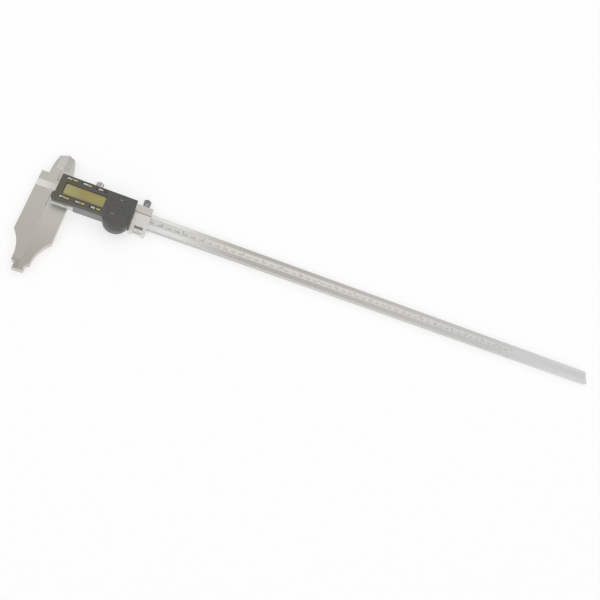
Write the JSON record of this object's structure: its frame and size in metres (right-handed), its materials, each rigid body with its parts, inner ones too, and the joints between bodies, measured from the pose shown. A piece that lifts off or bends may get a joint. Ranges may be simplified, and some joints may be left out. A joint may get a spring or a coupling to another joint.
{
  "type": "digital caliper",
  "caption": "Long digital caliper with knife-edge upper jaws, nib lower jaws, display housing, thumb wheel, clamp screws and a fine adjustment carriage on a graduated beam.",
  "frame": {"origin": "under the middle of the whole instrument, on the plane of its back", "axes": "+X along the beam, away from the jaws; +Y towards the upper jaws; +Z out of the display"},
  "size_m": [0.7886, 0.1538, 0.0199],
  "materials": {
    "beam_steel": "hardened steel, satin ground along its length",
    "scale_metal": "pale satin strip with dark engraved divisions",
    "stop_steel": "satin steel",
    "screw_steel": "turned steel",
    "slider_steel": "satin steel with ground jaw faces",
    "back_plate_steel": "satin steel",
    "gib_brass": "rolled brass",
    "clamp_steel": "knurled satin steel",
    "board_green": "green circuit board",
    "connector_ivory": "moulded connector",
    "base_plastic": "moulded dark plastic",
    "cover_plastic": "fine textured dark plastic",
    "chip_black": "black encapsulation",
    "dome_steel": "thin sprung steel",
    "zebra_rubber": "layered conductive rubber",
    "lcd_olive": "olive display, switched off",
    "window_clear": "clear acrylic",
    "battery_steel": "nickel plated",
    "contact_brass": "plated spring brass",
    "cap_plastic": "moulded dark plastic",
    "wheel_plastic": "serrated dark plastic",
    "roller_rubber": "black rubber",
    "axle_steel": "turned steel",
    "rod_steel": "threaded steel",
    "carriage_steel": "satin steel",
    "nut_steel": "bright knurled steel",
    "key_plastic": "dark caps with printed words"
  },
  "bodies": {
    "beam": {"main_beam": "beam_steel", "scale_strip": "scale_metal", "end_stop": "stop_steel", "end_stop_screws": "screw_steel"},
    "slider": {"slider_frame": "slider_steel", "slider_back_plate": "back_plate_steel", "back_plate_screws": "screw_steel", "gib_strip": "gib_brass", "gib_screws": "screw_steel", "pickup_board": "board_green", "board_connector": "connector_ivory", "housing_base": "base_plastic", "base_screws": "screw_steel", "front_cover": "cover_plastic", "cover_screws": "screw_steel", "main_board": "board_green", "processor_chip": "chip_black", "key_domes": "dome_steel", "zebra_strips": "zebra_rubber", "lcd_cell": "lcd_olive", "lcd_window": "window_clear", "battery": "battery_steel", "battery_contacts": "contact_brass", "wheel_axle": "axle_steel", "wheel_clip": "axle_steel", "fine_adjust_rod": "rod_steel"},
    "slider_clamp": {"slider_clamp_screw": "clamp_steel"},
    "wheel": {"thumb_wheel": "wheel_plastic", "friction_roller": "roller_rubber"},
    "cap": {"battery_cap": "cap_plastic"},
    "carriage": {"carriage_frame": "carriage_steel", "carriage_back_plate": "back_plate_steel", "carriage_plate_screws": "screw_steel", "carriage_gib": "gib_brass"},
    "carriage_clamp": {"carriage_clamp_screw": "clamp_steel"},
    "nut": {"fine_adjust_nut": "nut_steel"},
    "key_upper_1": {"key_upper_1": "key_plastic"},
    "key_upper_2": {"key_upper_2": "key_plastic"},
    "key_upper_3": {"key_upper_3": "key_plastic"},
    "key_lower_1": {"key_lower_1": "key_plastic"},
    "key_lower_2": {"key_lower_2": "key_plastic"},
    "key_lower_3": {"key_lower_3": "key_plastic"}
  },
  "joints": [
    {"name": "slider_slide", "type": "slide", "parent": "beam", "child": "slider", "axis": [1, 0, 0], "range_m": [0, 0.61]},
    {"name": "carriage_slide", "type": "slide", "parent": "slider", "child": "carriage", "axis": [1, 0, 0], "range_m": [0, 0.006]},
    {"name": "nut_turn", "type": "hinge", "parent": "carriage", "child": "nut", "pos_m": [-0.27775, 0.01155, 0.0044], "axis": [1, 0, 0], "range_deg": [0, 4320]},
    {"name": "wheel_turn", "type": "hinge", "parent": "slider", "child": "wheel", "pos_m": [-0.30295, 0.01085, 0.008], "axis": [0, 0, 1], "range_deg": [-60, 4800]},
    {"name": "slider_clamp_turn", "type": "hinge", "parent": "slider", "child": "slider_clamp", "pos_m": [-0.33335, 0.04455, 0.0046], "axis": [0, 1, 0], "range_deg": [-60, 360]},
    {"name": "carriage_clamp_turn", "type": "hinge", "parent": "carriage", "child": "carriage_clamp", "pos_m": [-0.27775, 0.04415, 0.0046], "axis": [0, 1, 0], "range_deg": [-60, 360]},
    {"name": "battery_cap_turn", "type": "hinge", "parent": "slider", "child": "cap", "pos_m": [-0.30595, 0.02505, 0.0186], "axis": [0, 0, 1], "range_deg": [0, 90]},
    {"name": "key_upper_1_press", "type": "slide", "parent": "slider", "child": "key_upper_1", "axis": [0, 0, -1], "range_m": [0, 0.0005], "stiffness_N_per_m": 3000},
    {"name": "key_upper_2_press", "type": "slide", "parent": "slider", "child": "key_upper_2", "axis": [0, 0, -1], "range_m": [0, 0.0005], "stiffness_N_per_m": 3000},
    {"name": "key_upper_3_press", "type": "slide", "parent": "slider", "child": "key_upper_3", "axis": [0, 0, -1], "range_m": [0, 0.0005], "stiffness_N_per_m": 3000},
    {"name": "key_lower_1_press", "type": "slide", "parent": "slider", "child": "key_lower_1", "axis": [0, 0, -1], "range_m": [0, 0.0005], "stiffness_N_per_m": 3000},
    {"name": "key_lower_2_press", "type": "slide", "parent": "slider", "child": "key_lower_2", "axis": [0, 0, -1], "range_m": [0, 0.0005], "stiffness_N_per_m": 3000},
    {"name": "key_lower_3_press", "type": "slide", "parent": "slider", "child": "key_lower_3", "axis": [0, 0, -1], "range_m": [0, 0.0005], "stiffness_N_per_m": 3000}
  ],
  "couplings": [
    {"joint": "wheel_turn", "follows": "slider_slide", "rad_per_m": 130.38},
    {"joint": "nut_turn", "follows": "carriage_slide", "rad_per_m": 12566}
  ]
}
